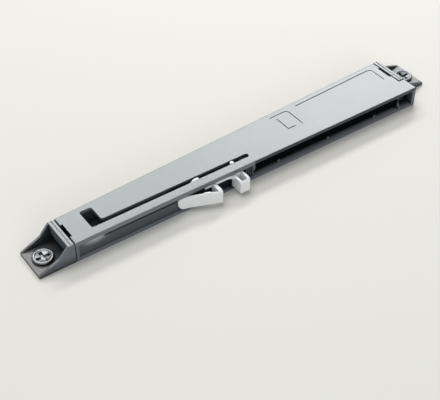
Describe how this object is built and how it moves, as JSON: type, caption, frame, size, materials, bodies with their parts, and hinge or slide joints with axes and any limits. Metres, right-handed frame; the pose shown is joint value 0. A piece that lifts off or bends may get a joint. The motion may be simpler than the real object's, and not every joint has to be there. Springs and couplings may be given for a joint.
{
  "type": "soft close damper",
  "caption": "Flat tapered cabinet damper: satin grey cover with a guide slot over an open-fronted base, a white forked catch on a sprung, oil damped carriage, and screw brackets at the ends.",
  "frame": {"origin": "under the middle of the bounding box, on the mounting face", "axes": "+X along the housing from the narrow end to the wide end, the way the catch closes; +Y from the open front, where the catch stands, to the back; +Z away from the mounting face"},
  "size_m": [0.2362, 0.0372, 0.0108],
  "materials": {
    "cover_plastic": "fine satin moulded grey with a strong sheen",
    "bracket_plastic": "fine satin moulded grey",
    "base_plastic": "satin moulded slate grey",
    "panel_plastic": "smooth moulded near black",
    "catch_plastic": "smooth white acetal",
    "carriage_plastic": "smooth near black acetal",
    "cylinder_plastic": "smooth black",
    "damper_plastic": "smooth dark grey acetal",
    "screw_nickel": "bright nickel plate",
    "rod_steel": "ground steel",
    "spring_steel": "drawn spring wire",
    "seal_rubber": "smooth black nitrile",
    "compensator_foam": "closed cell foam"
  },
  "bodies": {
    "housing": {"base_tray": "base_plastic", "front_panel": "panel_plastic", "bulkhead": "panel_plastic", "top_cover": "cover_plastic", "left_end_bracket": "bracket_plastic", "right_end_bracket": "bracket_plastic", "fixing_screws": "screw_nickel", "damper_cylinder": "cylinder_plastic", "cylinder_end_plug": "damper_plastic", "end_plug_seal": "seal_rubber", "rod_gland": "damper_plastic", "rod_seal": "seal_rubber", "seal_washer": "rod_steel", "volume_compensator": "compensator_foam", "closing_spring": "spring_steel"},
    "carriage": {"carriage": "carriage_plastic", "catch": "catch_plastic", "rod_coupling": "damper_plastic", "piston_rod": "rod_steel", "piston": "damper_plastic", "piston_ring": "seal_rubber", "piston_clip": "rod_steel"}
  },
  "joints": [
    {"name": "carriage_slide", "type": "slide", "parent": "housing", "child": "carriage", "axis": [1, 0, 0], "range_m": [-0.051, 0], "stiffness_N_per_m": 150, "springref_m": 0.02, "deforming": ["closing_spring"]}
  ]
}
